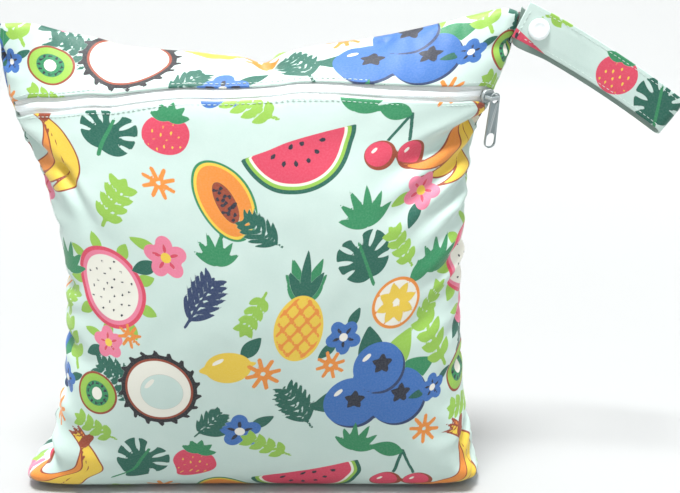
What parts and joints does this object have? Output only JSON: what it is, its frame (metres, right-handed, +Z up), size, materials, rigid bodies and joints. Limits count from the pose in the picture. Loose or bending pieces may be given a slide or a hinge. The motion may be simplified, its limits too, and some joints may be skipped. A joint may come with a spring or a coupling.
{
  "type": "filled cloth wet bag with a zip and a snapped strap loop",
  "caption": "Filled cloth wet bag standing on its flattened base, with a zip across the upper front, a swinging pull tab and a snapped strap loop.",
  "frame": {"origin": "on the flat base under the middle of the bag, where it rests", "axes": "+X to the right seen from the front, towards the strap, +Y to the back, +Z up; the zip faces -Y"},
  "size_m": [0.4074, 0.1193, 0.2988],
  "materials": {
    "printed_cloth": "smooth laminated polyester cloth with a printed fruit and leaf pattern on pale mint",
    "zip_tape": "white woven tape",
    "zip_chain": "white nylon coil, slightly glossy",
    "slider_metal": "satin grey plated metal",
    "snap_plastic": "white moulded plastic with a soft gloss"
  },
  "bodies": {
    "bag": {"front_panel": "printed_cloth", "front_yoke": "printed_cloth", "back_panel": "printed_cloth", "strap_loop": "printed_cloth", "zip_tape_upper": "zip_tape", "zip_tape_lower": "zip_tape", "zip_chain": "zip_chain", "zip_slider": "slider_metal", "snap_cap": "snap_plastic", "snap_back_cap": "snap_plastic", "snap_stud": "snap_plastic"},
    "pull_tab": {"pull_tab": "slider_metal"}
  },
  "joints": [
    {"name": "tab_swing", "type": "hinge", "parent": "bag", "child": "pull_tab", "pos_m": [0.13656, -0.00985, 0.24582], "axis": [0.3276, -0.9308, -0.1619], "range_deg": [-10, 110]}
  ]
}
